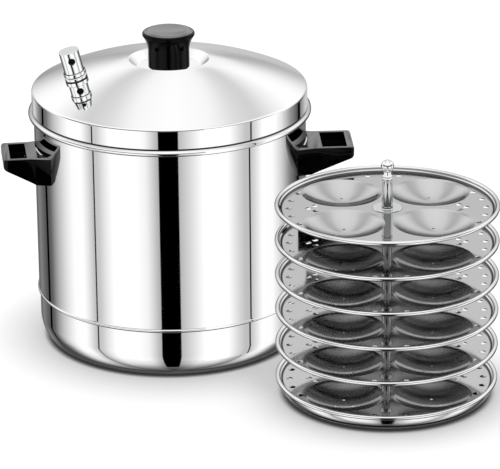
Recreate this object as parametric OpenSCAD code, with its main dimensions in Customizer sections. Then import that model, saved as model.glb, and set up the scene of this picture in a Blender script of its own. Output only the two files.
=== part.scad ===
// Idli steamer: a steel pot with two moulded lug handles, a domed lid with a knob and a
// steam whistle, and a rack of six mould plates on a spindle that stands beside the pot.
// Millimetres, +Z up, origin at the centre of the underside of the pot.

/* [Pot] */
// Outer radius of the pot wall
pot_r = 122.6; // [110:0.1:135]
// Height of the centre of the rolled rim
rim_z = 212.6; // [180:0.1:240]
// Thickness of the steel sheet of pot and lid
sheet = 0.8; // [0.6:0.1:1.2]
// Thickness of the pot's floor
floor_t = 1.6; // [1:0.1:3]
// Radius of the bead rolled along the rim
bead_r = 2.5; // [2:0.1:3.5]
// Outside radius of the corner between wall and floor
corner_r = 8.5; // [7:0.5:14]
// Height of the ridge pressed round the lower wall
ridge_z = 46.2; // [35:0.1:70]
// Half height of that ridge
ridge_r = 1.3; // [1:0.1:2]
// How far the wall below the ridge is drawn in
ridge_step = 1.0; // [0.4:0.1:1.5]

/* [Lid] */
// How far the lid's skirt stands out past the pot's wall
lid_over = 1.4; // [1:0.1:2.4]
// Height of the skirt from the rim to the shoulder
skirt_h = 16.7; // [12:0.1:26]
// Radius of the shoulder between skirt and dome
shoulder_r = 3.2; // [2:0.1:5]
// Radius of the sphere that the dome is part of
dome_r = 286; // [200:1:400]
// Radius of the sunk dish in the middle of the dome
dish_r = 36.8; // [32:0.1:45]
// Depth of the dish below the dome's edge round it
dish_depth = 7.5; // [6:0.5:11]
// Depth of the collar that reaches down into the pot
plug_h = 9; // [6:0.5:14]
// Radial clearance of the collar inside the pot
plug_gap = 0.5; // [0.3:0.1:0.9]

/* [Lid knob] */
// Radius of the knob's cap
knob_r = 23.6; // [21:0.1:27]
// Radius of the knob's neck
knob_neck_r = 18.5; // [16:0.1:20]
// Height of the knob
knob_h = 34.2; // [30:0.1:42]
// Radius of the screw that holds the knob
knob_screw_r = 2.5; // [2:0.25:3]

/* [Steam whistle] */
// Distance of the whistle's foot in from the lid's skirt
vent_inset = 17.5; // [16:0.1:34]
// Direction of the whistle's foot, counted from +X
vent_turn = -133; // [-180:0.1:180]
// Lean of the whistle away from upright
vent_lean = 14.4; // [0:0.1:20]
// Direction in which the whistle leans, counted from +X
vent_lean_turn = -158.4; // [-180:0.1:180]
// Height of the fixed stem from the dome to the top of its collar
vent_stem_h = 27; // [24:0.1:32]
// Radius of the whistle's two collars
vent_collar_r = 10; // [9.4:0.1:12]
// Radius of the whistle's cap above the collars
vent_cap_r = 8.8; // [8:0.1:9.2]
// Length of the cap above its collar
vent_cap_h = 19.4; // [15:0.1:26]
// Radius of the steam outlets in the stem and in the cap
vent_hole_r = 3.2; // [2:0.1:3.6]

/* [Lug handles] */
// Directions in which the left and right handles point, from +X
handle_turn = [187, 3]; // [0:1:360]
// How far each handle stands out from the pot's wall
handle_reach = [30.6, 40.4]; // [26:0.1:44]
// How far the handles' middle line passes in front of the pot's axis
handle_offset = 22.5; // [0:0.1:30]
// Width of a handle
handle_w = 48; // [40:0.5:60]
// Height of the handles' flat top
handle_z = 187; // [150:0.1:195]
// Height of a handle where it meets the wall
handle_h = 24.5; // [22:0.5:34]
// Thickness of a handle at its tip
handle_tip_h = 10.5; // [8:0.1:14]
// Distance from the wall to the finger pocket of each handle
handle_pocket_in = [9.5, 11.9]; // [6:0.1:14]

/* [Rack] */
// Place of the rack's spindle on the floor
rack_at = [189.7, -149.3]; // [-300:0.1:300]
// Outer radius of a mould plate
plate_r = 97.4; // [92:0.1:105]
// Radius of the bead rolled along a plate's edge
plate_bead_r = 2.1; // [1.6:0.1:2.6]
// Thickness of a plate
plate_t = 1.0; // [0.8:0.1:1.2]
// Height from one plate to the next
pitch = 31.8; // [28:0.1:36]
// Height of the bead's centre of the lowest plate
first_z = 14.4; // [14.2:0.1:20]
// Depth of a plate's web below its bead's centre
web_drop = 3.0; // [2.6:0.1:5]
// Radius of a mould cup's mouth
cup_r = 34; // [30:0.1:35]
// Depth of a mould cup
cup_depth = 9.3; // [6:0.1:9.6]
// Distance from a plate's centre lines to a cup's centre
cup_at = 38.2; // [36:0.1:39]
// Radius of the steam holes in a plate
hole_r = 2.8; // [1.5:0.1:3]
// Distance of the outer rows of steam holes from a plate's centre
hole_rho = 85; // [80:0.1:86]
// Radius of the small holes in a cup
cup_hole_r = 1.2; // [0.8:0.1:1.6]
// Radius of the spindle
rod_r = 2.5; // [2:0.1:2.8]
// Radial running clearance of the pieces that slide on the spindle
rod_fit = 0.08; // [0.05:0.01:0.1]
// Radius of a spacer tube
spacer_r = 4.2; // [3.8:0.1:5]
// Radius of the neck of a hub, below its plate
hub_r = 3.4; // [3.2:0.1:3.8]
// Radius of a hub's round flange, on top of its plate
hub_flange_r = 13; // [9:0.1:15]
// Length of a hub's neck below its plate
hub_neck_h = 9.5; // [6:0.1:14]
// Length of the sleeve above the top plate
sleeve_h = 24.4; // [20:0.1:40]
// Height of the waisted collar below the ball knob
knob_collar_h = 7.4; // [5:0.1:9]
// Radius of the ball knob
ball_r = 5.7; // [5:0.1:8]

/* [Hidden] */
// Gap between faces that seat on each other but move apart
seat = 0.25;
// Shell sheets seat on the wall with this hairline gap
weld = 0.05;
pot_floor_r = pot_r - ridge_step;
bead_c = pot_r + bead_r - 0.2;
lid_r = pot_r + lid_over;
skirt_z = rim_z + bead_r + seat;
shoulder_z = skirt_z + skirt_h;
shoulder_c = lid_r - shoulder_r;
dome_z = shoulder_z - sqrt(pow(dome_r - shoulder_r, 2) - pow(shoulder_c, 2));
dish_edge_z = dome_z + sqrt(dome_r * dome_r - dish_r * dish_r);
dish_z = dish_edge_z - dish_depth;
dish_floor_r = dish_r - dish_depth - 1;
dish_a = acos(dish_r / dome_r);
shoulder_a = acos(shoulder_c / (dome_r - shoulder_r));
plug_r = pot_r - sheet - plug_gap;
knob_washer_t = 1.2;
vent_rho = lid_r - vent_inset;
vent_foot = [vent_rho * cos(vent_turn), vent_rho * sin(vent_turn),
             dome_z + sqrt(dome_r * dome_r - vent_rho * vent_rho)];
vent_shank_r = 4.5;
vent_bore_r = 1.5;
vent_base_h = 0.22 * vent_stem_h;
vent_ring_z = 0.29 * vent_stem_h;
vent_ring_top = 0.47 * vent_stem_h;
vent_collar_z = 0.82 * vent_stem_h;
vent_barrel_r = vent_collar_r - 1.6;
vent_shank_h = 16;
vent_gap = 0.5;
vent_nozzle_h = 6;
vent_nozzle_r = 4.2;
vent_cap_collar_h = 7.2;
handle_wall = 2.6;
handle_rim = 6.4;
handle_pocket_d = 8.5;
handle_flare = 4.5;
// Distance from the pot's axis plane to the wall on a handle's middle line
handle_wall_x = sqrt(pot_r * pot_r - handle_offset * handle_offset);
handle_screw_z = handle_z - 8;
handle_screw_r = 1.65;
handle_head_r = 3.6;
handle_head_h = 2.4;
handle_head_in = 1;
bracket_t = 1.5;
bracket_w = 22;
bracket_h = 16;
tiers = 6;
plate_bead_c = plate_r - plate_bead_r;
web_r = plate_bead_c - 3.6;
cup_sphere = (cup_r * cup_r + cup_depth * cup_depth) / (2 * cup_depth);
hub_flange_t = 0.8;
hub_ring_r = 5.4;
hub_ring_h = 1.6;
spacer_h = pitch - plate_t - hub_neck_h - hub_flange_t - seat;
collar_h = 1.6;
collar_r = spacer_r + 0.5;
nut_h = 4;
top_z = first_z + (tiers - 1) * pitch - web_drop;
sleeve_z = top_z + hub_flange_t + seat;
knob_z = sleeve_z + sleeve_h + seat;
rod_top = knob_z + knob_collar_h;
ball_z = knob_z + knob_collar_h + ball_r - 0.8;
foot_r = plate_bead_c - 1.2;
foot_corner = 12;
foot_lip = 8;
round_fn = 96;

// Points on an arc round c from angle a to angle b
function arc(c, r, a, b, n) =
    [for (i = [0 : n]) let (t = a + (b - a) * i / n) [c[0] + r * cos(t), c[1] + r * sin(t)]];

// Height of a plate's web above the floor
function web_z(tier) = first_z + (tier - 1) * pitch - web_drop;

module turned(points) {
    rotate_extrude($fn = round_fn) polygon(points);
}

module tube(h, outer, bore) {
    difference() {
        cylinder(h = h, r = outer, $fn = 48);
        translate([0, 0, -1]) cylinder(h = h + 2, r = bore, $fn = 48);
    }
}

module on_rack(z) {
    translate([rack_at[0], rack_at[1], z]) children();
}

// The whistle's own axis, with z = 0 where it leaves the dome
module on_vent() {
    translate(vent_foot) rotate([0, 0, vent_lean_turn]) rotate([0, vent_lean, 0]) children();
}

// One handle's own frame: x points out of the wall, y runs along the handle's width
module on_handle(side) {
    rotate([0, 0, handle_turn[side]]) mirror([0, side, 0]) children();
}

// Deep drawn pot: floor, rounded corner, stepped wall and a bead rolled outwards
module pot_shell() {
    low_in = pot_floor_r - sheet;
    wall_in = pot_r - sheet;
    outside = concat(
        [[0, 0]],
        arc([pot_floor_r - corner_r, corner_r], corner_r, -90, 0, 8),
        [[pot_floor_r, ridge_z - ridge_r - 0.6]],
        arc([pot_r, ridge_z], ridge_r, -55, 55, 4),
        [[pot_r, ridge_z + ridge_r + 0.8], [pot_r, rim_z]]);
    inside = concat(
        [[wall_in, rim_z], [wall_in, ridge_z + 1], [low_in, ridge_z - 1]],
        arc([pot_floor_r - corner_r, corner_r + floor_t - sheet], corner_r - sheet, 0, -90, 8),
        [[0, floor_t]]);
    color("silver") union() {
        turned(concat(outside, inside));
        rotate_extrude($fn = round_fn) translate([bead_c, rim_z]) circle(r = bead_r, $fn = 24);
    }
}

// Side view of a handle: flat top, deep at the wall, sloping up to a thin rounded tip
module handle_side(reach) {
    tip = pot_r + reach;
    low = handle_z - handle_tip_h;
    polygon(concat(
        [[pot_r - 20, handle_z], [pot_r - 20, handle_z - handle_h], [pot_r + 2, handle_z - handle_h]],
        arc([tip - 3.5, low + 3.5], 3.5, -62, 0, 4),
        arc([tip - 2, handle_z - 2], 2, 0, 90, 4)));
}

// Plan of a handle: straight sides, rounded tip corners and a slight flare at the wall
module handle_plan(reach) {
    half = handle_w / 2;
    tip = pot_r + reach;
    corner = 4;
    translate([0, handle_offset]) polygon(concat(
        [[0, half + handle_flare], [pot_r - 12, half + handle_flare], [pot_r + 6, half]],
        arc([tip - corner, half - corner], corner, 90, 0, 5),
        arc([tip - corner, corner - half], corner, 0, -90, 5),
        [[pot_r + 6, -half], [pot_r - 12, -half - handle_flare], [0, -half - handle_flare]]));
}

// Moulded bakelite lug with a finger pocket in its top and an open pocket at the wall
module handle_lug(side) {
    reach = handle_reach[side];
    pocket_x = pot_r + handle_pocket_in[side];
    half = handle_w / 2;
    low = handle_z - handle_h;
    wide = handle_w + 2 * handle_flare + 2;
    difference() {
        intersection() {
            translate([0, handle_offset + wide / 2, 0]) rotate([90, 0, 0])
                linear_extrude(height = wide) handle_side(reach);
            translate([0, 0, low - 1]) linear_extrude(height = handle_h + 2) handle_plan(reach);
        }
        translate([0, 0, low - 2]) cylinder(h = handle_h + 4, r = pot_r + weld, $fn = round_fn);
        translate([pocket_x, handle_offset - half + 4, handle_z - handle_pocket_d])
            cube([pot_r + reach - handle_rim - pocket_x, handle_w - 8, handle_pocket_d + 1]);
        translate([0, handle_offset - half + handle_wall, handle_z - bracket_h - 2])
            cube([pot_r + 0.4, handle_w - 2 * handle_wall, bracket_h + 3]);
        translate([handle_wall_x, handle_offset, handle_screw_z]) rotate([0, 90, 0])
            cylinder(h = pocket_x - handle_wall_x, r = handle_screw_r + 0.55, $fn = 32);
        translate([pocket_x - handle_head_in, handle_offset, handle_screw_z]) rotate([0, 90, 0])
            cylinder(h = handle_head_in + handle_head_h, r = handle_head_r + 0.8, $fn = 32);
    }
}

module handle_left() {
    color("#1b1b1d") on_handle(0) handle_lug(0);
}

module handle_right() {
    color("#1b1b1d") on_handle(1) handle_lug(1);
}

// Curved steel tabs welded to the wall, each tapped for its handle's screw
module handle_brackets() {
    color("gainsboro") for (side = [0, 1]) on_handle(side) {
        difference() {
            intersection() {
                translate([0, handle_offset - bracket_w / 2, handle_z - bracket_h - 1])
                    cube([pot_r + 0.2, bracket_w, bracket_h]);
                difference() {
                    cylinder(h = handle_z, r = pot_r + bracket_t, $fn = round_fn);
                    translate([0, 0, -1]) cylinder(h = handle_z + 2, r = pot_r + weld, $fn = round_fn);
                }
            }
            translate([handle_wall_x - 1, handle_offset, handle_screw_z]) rotate([0, 90, 0])
                cylinder(h = bracket_t + 3, r = handle_screw_r + weld, $fn = 32);
        }
    }
}

// Pan head screws that draw the handles onto their brackets
module handle_screws() {
    start = handle_wall_x + 0.4;
    color("gainsboro") for (side = [0, 1]) on_handle(side) {
        head = pot_r + handle_pocket_in[side] - handle_head_in;
        translate([start, handle_offset, handle_screw_z]) rotate([0, 90, 0]) {
            cylinder(h = head + 1 - start, r = handle_screw_r, $fn = 32);
            translate([0, 0, head - start]) cylinder(h = handle_head_h, r = handle_head_r, $fn = 32);
        }
    }
}

// Section of the lid's sheet, offset inwards by t from its outer face
function lid_line(t) = concat(
    [[knob_screw_r + 0.3, dish_z - t], [dish_floor_r - t * 0.6, dish_z - t]],
    arc([dish_floor_r, dish_z + 1.6], 1.6 + t, -80, -46, 3),
    arc([dish_r - 0.4, dish_edge_z - 1.5], 1.5 - t, 134, dish_a, 4),
    arc([0, dome_z], dome_r - t, dish_a - 0.6, shoulder_a + 0.7, 24),
    arc([shoulder_c, shoulder_z], shoulder_r - t, shoulder_a - 2, 0, 6),
    [[lid_r - t, skirt_z + t], [plug_r - t, skirt_z + t], [plug_r - t, skirt_z - plug_h]]);

function reversed(v) = [for (i = [len(v) - 1 : -1 : 0]) v[i]];

// Pressed lid: sunk dish, dome, shoulder, skirt and a collar that fits into the pot
module lid_shell() {
    inner = lid_line(sheet);
    outer = lid_line(0);
    color("silver") difference() {
        turned(concat(outer, reversed(inner)));
        on_vent() translate([0, 0, -vent_shank_h]) cylinder(h = 2 * vent_shank_h, r = vent_shank_r + 0.2, $fn = 48);
    }
}

// Moulded mushroom knob: waisted neck that flares into a rounded cap with a dished top
module lid_knob() {
    top = dish_z + knob_h;
    edge = 2.7;
    flare = knob_r - knob_neck_r;
    color("#141416") difference() {
        turned(concat(
            [[0, dish_z], [knob_neck_r - 1.2, dish_z], [knob_neck_r - 0.4, dish_z + 1.5],
             [knob_neck_r, top - 0.56 * knob_h], [knob_neck_r + 0.14 * flare, top - 0.43 * knob_h],
             [knob_neck_r + 0.36 * flare, top - 0.29 * knob_h], [knob_neck_r + 0.62 * flare, top - 0.23 * knob_h]],
            arc([knob_r - edge, top - 3.6], edge, -60, 66, 8),
            [[knob_r - 3.6, top - 0.3], [knob_r - 5, top], [knob_r - 6.4, top - 0.1], [0, top - 1.2]]));
        translate([0, 0, dish_z - 1]) cylinder(h = 17, r = 4.2, $fn = 48);
    }
}

// Threaded brass bush moulded into the knob
module knob_insert() {
    color("goldenrod") translate([0, 0, dish_z + 0.3]) tube(15, 4.2, knob_screw_r + 0.05);
}

module knob_washer() {
    color("gainsboro") translate([0, 0, dish_z - sheet - knob_washer_t])
        tube(knob_washer_t, 7, knob_screw_r + 0.3);
}

module knob_screw() {
    head_z = dish_z - sheet - knob_washer_t;
    color("gainsboro") {
        translate([0, 0, head_z - 2.8]) cylinder(h = 2.8, r = 4.8, $fn = 48);
        translate([0, 0, head_z - 0.1]) cylinder(h = 13, r = knob_screw_r, $fn = 48);
    }
}

// Steam outlet of the whistle: a round hole from its axis to the front
module vent_hole(z, r) {
    translate([0, 0, z]) rotate([0, 0, 77]) rotate([0, 90, 0])
        cylinder(h = vent_collar_r + 1, r = r, $fn = 32);
}

// Turned steel stem: tapered base cut to the dome, ring, barrel, collar and nozzle
module vent_stem() {
    color("lightgray") difference() {
        on_vent() rotate_extrude($fn = 64) polygon([
            [0, -vent_shank_h], [vent_shank_r, -vent_shank_h], [vent_shank_r, -4],
            [vent_barrel_r - 2.2, -4], [vent_barrel_r - 1.8, 0], [vent_barrel_r - 0.5, vent_base_h],
            [vent_barrel_r + 0.6, vent_ring_z], [vent_barrel_r + 0.7, vent_ring_top - 0.8],
            [vent_barrel_r, vent_ring_top], [vent_barrel_r, vent_collar_z],
            [vent_collar_r, vent_collar_z + 0.5], [vent_collar_r, vent_stem_h],
            [vent_nozzle_r, vent_stem_h], [vent_nozzle_r - 1.2, vent_stem_h + vent_nozzle_h],
            [0, vent_stem_h + vent_nozzle_h]]);
        on_vent() translate([0, 0, -vent_shank_h - 1])
            cylinder(h = vent_shank_h + vent_stem_h + vent_nozzle_h + 2, r = vent_bore_r, $fn = 32);
        on_vent() vent_hole((vent_ring_top + vent_collar_z) / 2, vent_hole_r);
        on_vent() vent_hole(vent_base_h * 0.64, vent_hole_r * 0.6);
        intersection() {
            translate([0, 0, dome_z]) sphere(r = dome_r + weld, $fn = 128);
            on_vent() translate([0, 0, -vent_shank_h]) tube(vent_shank_h + 6, 12, vent_shank_r);
        }
    }
}

// Rubber seal whose top face follows the underside of the dome
module vent_gasket() {
    color("#303030") intersection() {
        translate([0, 0, dome_z]) sphere(r = dome_r - sheet - weld, $fn = 400);
        on_vent() translate([0, 0, -5.5]) tube(8, 9, vent_shank_r + 0.1);
    }
}

module vent_nut() {
    color("gainsboro") on_vent() translate([0, 0, -10]) difference() {
        cylinder(h = 4.4, r = 8.6, $fn = 6);
        translate([0, 0, -1]) cylinder(h = 7, r = vent_shank_r + 0.05, $fn = 48);
    }
}

// Lift-off whistle: two collars with a groove, a plain barrel, a side outlet and a bevelled top
module whistle_cap() {
    base = vent_stem_h + vent_gap;
    neck = base + vent_cap_collar_h;
    top = neck + vent_cap_h;
    hole_z = neck + 0.59 * vent_cap_h;
    color("lightgray") on_vent() difference() {
        rotate_extrude($fn = 64) polygon([
            [0, base], [vent_collar_r, base], [vent_collar_r, base + 2.6], [vent_collar_r - 0.7, base + 2.9],
            [vent_collar_r - 0.7, base + 3.4], [vent_collar_r - 0.1, base + 3.7],
            [vent_collar_r - 0.3, neck - 0.8], [vent_cap_r, neck], [vent_cap_r, top - 0.6],
            [vent_cap_r - 0.6, top], [0, top]]);
        translate([0, 0, base - 1]) cylinder(h = vent_nozzle_h + 0.8, r = vent_nozzle_r + 0.4, $fn = 48);
        translate([0, 0, base]) cylinder(h = hole_z - base, r = vent_nozzle_r - 1.2, $fn = 48);
        vent_hole(hole_z, vent_hole_r);
    }
}

// Spun ring under the lowest plate that holds its cups clear of the floor
module rack_foot() {
    top = first_z - plate_bead_r - weld;
    mid = foot_r - foot_corner;
    color("silver") on_rack(0) turned(concat(
        [[mid - foot_lip, 0]],
        arc([mid, foot_corner], foot_corner, -90, -8, 7),
        [[foot_r, top], [foot_r - plate_t, top]],
        arc([mid, foot_corner], foot_corner - plate_t, -8, -90, 7),
        [[mid - foot_lip, plate_t]]));
}

// Section of a plate's sheet: web, rounded step up and rolled edge
module plate_sheet() {
    rise = web_drop - plate_bead_r + 0.4;
    rotate_extrude($fn = round_fn) union() {
        polygon(concat(
            [[hub_r + weld, -plate_t], [web_r - 1, -plate_t]],
            arc([web_r - 1, 2.4 - plate_t], 2.4, -90, -12, 4),
            [[plate_bead_c, rise], [plate_bead_c, rise + 1.4]],
            arc([web_r - 1, 1.4], 1.4, -12, -90, 4),
            [[hub_r + weld, 0]]));
        translate([plate_bead_c, web_drop]) circle(r = plate_bead_r, $fn = 24);
    }
}

module cup_shell() {
    intersection() {
        translate([0, 0, cup_sphere - cup_depth]) difference() {
            sphere(r = cup_sphere + plate_t, $fn = round_fn);
            sphere(r = cup_sphere, $fn = round_fn);
        }
        translate([0, 0, -cup_depth - plate_t - 1]) cylinder(h = cup_depth + plate_t + 1, r = cup_r + 1, $fn = 64);
    }
}

// Steam holes: five and three in each side gap between cups, two in the front and back gaps
module plate_holes() {
    for (side = [0, 180]) rotate([0, 0, side]) {
        for (a = [-26.4 : 13.2 : 26.4]) rotate([0, 0, a]) translate([hole_rho, 0, -3]) cylinder(h = 6, r = hole_r, $fn = 24);
        for (p = [[68, 0], [62, -6.5], [62, 6.5]]) translate([p[0], p[1], -3]) cylinder(h = 6, r = hole_r, $fn = 24);
        for (a = [80.5, 99.5]) rotate([0, 0, a]) translate([hole_rho - 1.5, 0, -3]) cylinder(h = 6, r = hole_r, $fn = 24);
    }
}

// Mould plate: flat web with a rolled edge, four shallow cups and its steam holes
module plate(tier) {
    color("silver") on_rack(web_z(tier)) difference() {
        union() {
            difference() {
                plate_sheet();
                for (x = [-1, 1], y = [-1, 1]) translate([x * cup_at, y * cup_at, -3])
                    cylinder(h = 6, r = cup_r, $fn = 64);
            }
            for (x = [-1, 1], y = [-1, 1]) translate([x * cup_at, y * cup_at, 0]) cup_shell();
        }
        plate_holes();
        for (x = [-1, 1], y = [-1, 1], a = [90, 210, 330]) translate([x * cup_at, y * cup_at, -cup_depth - 3])
            rotate([0, 0, a]) translate([9, 0, 0]) cylinder(h = 8, r = cup_hole_r, $fn = 24);
    }
}

// Flanged ferrule: its barrel passes through the plate, is peened below it and ends in a neck
module hub(tier) {
    neck = tier == 1 ? hub_ring_h : hub_neck_h;
    color("lightgray") on_rack(web_z(tier)) difference() {
        rotate_extrude($fn = 64) polygon([
            [0, hub_flange_t], [hub_flange_r - 0.3, hub_flange_t], [hub_flange_r, hub_flange_t - 0.3],
            [hub_flange_r, 0], [hub_r, 0], [hub_r, -plate_t], [hub_ring_r, -plate_t],
            [hub_ring_r - 0.3, -plate_t - 0.8], [hub_r, -plate_t - hub_ring_h],
            [hub_r, -plate_t - neck], [0, -plate_t - neck]]);
        translate([0, 0, -plate_t - hub_neck_h - 1])
            cylinder(h = plate_t + hub_neck_h + hub_flange_t + 2, r = rod_r + rod_fit, $fn = 48);
    }
}

// Tube that stands on a hub and carries the neck of the next hub on its collar
module spacer(tier) {
    color("lightgray") on_rack(web_z(tier) + hub_flange_t) difference() {
        union() {
            cylinder(h = spacer_h, r = spacer_r, $fn = 48);
            translate([0, 0, spacer_h - collar_h]) cylinder(h = collar_h, r = collar_r, $fn = 48);
        }
        translate([0, 0, -1]) cylinder(h = spacer_h + 2, r = rod_r + rod_fit, $fn = 48);
    }
}

module rack_spindle() {
    low = web_z(1) - plate_t - hub_ring_h - nut_h - 1;
    color("lightgray") on_rack(low) cylinder(h = rod_top - low, r = rod_r, $fn = 48);
}

module spindle_nut() {
    color("gainsboro") on_rack(web_z(1) - plate_t - hub_ring_h - nut_h) difference() {
        cylinder(h = nut_h, r = 5, $fn = 6);
        translate([0, 0, -1]) cylinder(h = nut_h + 2, r = rod_r + weld, $fn = 48);
    }
}

// Tapered sleeve that clamps the stack below the ball knob
module top_sleeve() {
    color("lightgray") on_rack(sleeve_z) difference() {
        rotate_extrude($fn = 64) polygon([
            [0, 0], [4.9, 0], [4.8, 1], [4.15, sleeve_h], [0, sleeve_h]]);
        translate([0, 0, -1]) cylinder(h = sleeve_h + 2, r = rod_r + rod_fit, $fn = 48);
    }
}

// Ball with a waisted collar, bored blind for the spindle's threaded end
module ball_knob() {
    color("lightgray") on_rack(0) difference() {
        union() {
            translate([0, 0, ball_z]) sphere(r = ball_r, $fn = 64);
            translate([0, 0, knob_z]) rotate_extrude($fn = 64) polygon([
                [0, 0], [4.3, 0], [4.7, 0.5], [4.7, 1.6], [4.2, 2.2], [4.5, 2.8], [4.5, 3.8],
                [3.7, 4.6], [3.4, knob_collar_h], [0, knob_collar_h]]);
        }
        translate([0, 0, knob_z - 1]) cylinder(h = rod_top - knob_z + 1.3, r = rod_r + rod_fit, $fn = 48);
    }
}

pot_shell();
handle_left();
handle_right();
handle_brackets();
handle_screws();
lid_shell();
lid_knob();
knob_insert();
knob_washer();
knob_screw();
vent_stem();
vent_gasket();
vent_nut();
whistle_cap();
rack_foot();
rack_spindle();
spindle_nut();
plate(1);  // plate_1
plate(2);  // plate_2
plate(3);  // plate_3
plate(4);  // plate_4
plate(5);  // plate_5
plate(6);  // plate_6
hub(1);  // hub_1
hub(2);  // hub_2
hub(3);  // hub_3
hub(4);  // hub_4
hub(5);  // hub_5
hub(6);  // hub_6
spacer(1);  // spacer_1
spacer(2);  // spacer_2
spacer(3);  // spacer_3
spacer(4);  // spacer_4
spacer(5);  // spacer_5
top_sleeve();
ball_knob();
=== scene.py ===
# Idli steamer: a polished steel pot and lid, black moulded lugs and knob, a steam whistle, and a
# rack of six mould plates on a spindle. Metres, +Z up, the origin under the centre of the pot.
import math

import bmesh
import bpy
import numpy as np
from mathutils import Matrix, Vector
from mathutils.geometry import delaunay_2d_cdt


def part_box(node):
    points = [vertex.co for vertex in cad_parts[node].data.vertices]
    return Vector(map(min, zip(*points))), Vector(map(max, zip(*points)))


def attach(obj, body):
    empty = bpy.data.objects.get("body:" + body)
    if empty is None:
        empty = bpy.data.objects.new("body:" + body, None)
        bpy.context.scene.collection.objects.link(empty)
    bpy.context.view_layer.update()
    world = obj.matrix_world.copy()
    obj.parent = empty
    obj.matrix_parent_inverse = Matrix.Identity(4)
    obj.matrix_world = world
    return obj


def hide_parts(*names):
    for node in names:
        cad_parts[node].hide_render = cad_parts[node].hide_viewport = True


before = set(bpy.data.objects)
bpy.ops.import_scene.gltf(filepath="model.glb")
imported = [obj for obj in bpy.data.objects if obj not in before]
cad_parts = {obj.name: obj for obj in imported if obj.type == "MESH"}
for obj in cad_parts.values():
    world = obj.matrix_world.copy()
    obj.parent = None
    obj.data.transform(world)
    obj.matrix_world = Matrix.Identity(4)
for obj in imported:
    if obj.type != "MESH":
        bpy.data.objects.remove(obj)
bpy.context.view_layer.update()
scene = bpy.context.scene
scene.view_settings.view_transform = "Standard"

# The camera stands about three metres off and looks down at 21 degrees, with a long lens. Pot and
# rack share this one view, which was fitted to the rims, the ridge and the six plates.
CAMERA_AT = Vector((0.07109, -2.8066, 1.1502))
CAMERA_DOWN = math.radians(20.685)
CAMERA_ROLL = math.radians(-0.5537)
FOCAL_PER_WIDTH = 6.56818
camera_data = bpy.data.cameras.new("camera")
camera_data.sensor_width = 36.0
camera_data.lens = FOCAL_PER_WIDTH * camera_data.sensor_width
camera = bpy.data.objects.new("camera", camera_data)
scene.collection.objects.link(camera)
forward = Vector((0, math.cos(CAMERA_DOWN), -math.sin(CAMERA_DOWN)))
level_right = Vector((1, 0, 0))
level_up = Vector((0, math.sin(CAMERA_DOWN), math.cos(CAMERA_DOWN)))
right = math.cos(CAMERA_ROLL) * level_right + math.sin(CAMERA_ROLL) * level_up
up = math.cos(CAMERA_ROLL) * level_up - math.sin(CAMERA_ROLL) * level_right
turn = Matrix((right, up, -forward)).transposed().to_4x4()
camera.matrix_world = Matrix.Translation(CAMERA_AT) @ turn
scene.camera = camera


def to_linear(value):
    """sRGB level from 0 to 1 as linear light: a straight foot, then a power of 2.4."""
    return value / 12.92 if value <= 0.04045 else ((value + 0.055) / 1.055) ** 2.4


def colour(code):
    """An sRGB hex code such as c8c9cb as a linear colour with alpha 1."""
    return tuple(to_linear(int(code[i:i + 2], 16) / 255) for i in (0, 2, 4)) + (1.0,)


def add_node(tree, kind, settings, links):
    """Adds one node: settings fill its properties and open sockets, links join its inputs."""
    node = tree.nodes.new(kind)
    for name, value in settings.items():
        if isinstance(name, int) or name in node.inputs:
            node.inputs[name].default_value = value
        else:
            setattr(node, name, value)
    for name, output in links.items():
        tree.links.new(output, node.inputs[name])
    return node


# The studio is white all round, with soft grey flags and a few narrow black ones standing at these
# directions. Polished steel shows them as upright bands. Levels are sRGB, azimuths are degrees
# counted from the camera's side towards the right.
FLAG_LEVELS = (
    (-180, 0.86), (-166, 0.58), (-154, 0.86), (-142, 0.56), (-133, 0.36), (-124, 0.44),
    (-112, 0.74), (-99, 0.92), (-91, 1.0), (-80, 1.0), (-75, 0.91), (-69, 0.76), (-63, 0.78),
    (-57, 0.90), (-50, 1.0), (-28, 1.0), (-20, 0.95), (-10, 0.70), (7, 0.70), (17, 0.85),
    (28, 1.0), (48, 1.0), (60, 0.84), (67, 0.73), (78, 0.88), (84, 1.0), (97, 1.0),
    (109, 0.84), (121, 0.57), (136, 0.28), (157, 0.79), (180, 0.86),
)
# Azimuth and half width of each black flag, in degrees
BLACK_FLAGS = ((-0.6, 8.3), (-67.0, 0.7), (71.6, 0.7), (-131.3, 2.0), (138.5, 2.6))
# Bearing round the mirror direction of a level surface, and level, for the light from behind
BACK_LEVELS = (
    (0, 0.98), (14, 0.95), (23, 0.84), (32, 0.79), (43, 0.92), (58, 1.0), (80, 0.98), (98, 0.93),
    (118, 0.84), (135, 0.75), (153, 0.67), (165, 0.74), (180, 0.82),
)
# Level by the height of a direction, which is 1 straight up: below the horizon, and above the front
BELOW_LEVELS = ((-1.0, 0.34), (-0.97, 0.44), (-0.91, 0.62), (-0.80, 0.86), (-0.60, 1.0))
FRONT_LEVELS = ((0.0, 0.85), (0.05, 0.55), (0.14, 0.40), (0.34, 0.40), (0.55, 0.98), (1.0, 0.98))
# Half of the width of a black flag's soft edge, in degrees
BLACK_EDGE = 0.25
STUDIO_STRENGTH = 1.08


def ramp(tree, stops, low, high, value):
    """A colour ramp over value from low to high, with grey stops given as (position, sRGB level)."""
    place = add_node(tree, "ShaderNodeMapRange", {"From Min": low, "From Max": high}, {"Value": value})
    node = add_node(tree, "ShaderNodeValToRGB", {}, {"Fac": place.outputs["Result"]})
    elements = node.color_ramp.elements
    while len(elements) < len(stops):
        elements.new(0.5)
    for element, (position, level) in zip(elements, stops):
        grey = to_linear(level)
        element.position = (position - low) / (high - low)
        element.color = (grey, grey, grey, 1.0)
    return node.outputs["Color"]


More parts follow.
